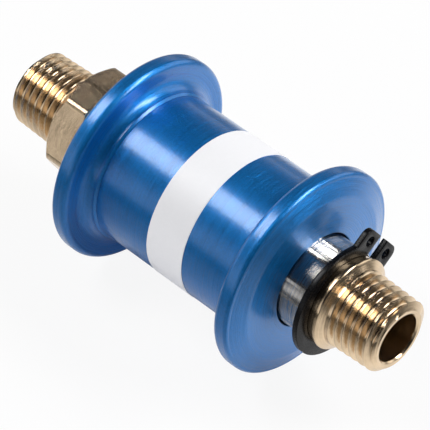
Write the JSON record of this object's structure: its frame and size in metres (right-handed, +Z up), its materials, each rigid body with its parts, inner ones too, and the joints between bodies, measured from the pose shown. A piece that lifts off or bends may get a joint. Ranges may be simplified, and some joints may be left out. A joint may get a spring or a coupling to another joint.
{
  "type": "hand slide valve",
  "caption": "Inline air valve with a flanged finger sleeve that slides on a stem with taper pipe threads, shut against the inlet's stop and open against the retaining ring.",
  "frame": {"origin": "on the stem's axis, half way along the valve", "axes": "+X along the stem from inlet to outlet, +Z up with a flat of the hexagon facing up"},
  "size_m": [0.079, 0.036, 0.036],
  "materials": {
    "anodised_aluminium": "blue anodised over fine turning marks",
    "fitting_brass": "polished, with a satin hexagon",
    "plug_brass": "as turned",
    "tube_steel": "ground and polished",
    "ring_steel": "black phosphated",
    "seal_rubber": "moulded",
    "guide_plastic": "cut from strip",
    "label_film": "white printed film"
  },
  "bodies": {
    "stem": {"inlet_fitting": "fitting_brass", "outlet_fitting": "fitting_brass", "stem_tube": "tube_steel", "centre_plug": "plug_brass", "plug_seal_inlet": "seal_rubber", "plug_seal_outlet": "seal_rubber", "spigot_seal_inlet": "seal_rubber", "spigot_seal_outlet": "seal_rubber", "retaining_ring": "ring_steel"},
    "running_rings": {"guide_band_inlet": "guide_plastic", "guide_band_outlet": "guide_plastic", "sleeve_seal_inlet": "seal_rubber", "sleeve_seal_outlet": "seal_rubber"},
    "sleeve": {"sleeve_barrel": "anodised_aluminium", "inlet_flange": "anodised_aluminium", "outlet_flange": "anodised_aluminium", "label_band": "label_film"}
  },
  "joints": [
    {"name": "sleeve_slide", "type": "slide", "parent": "stem", "child": "running_rings", "axis": [1, 0, 0], "range_m": [0, 0.0045]},
    {"name": "sleeve_turn", "type": "hinge", "parent": "running_rings", "child": "sleeve", "pos_m": [0.0014, 0, 0], "axis": [1, 0, 0], "continuous": true}
  ]
}
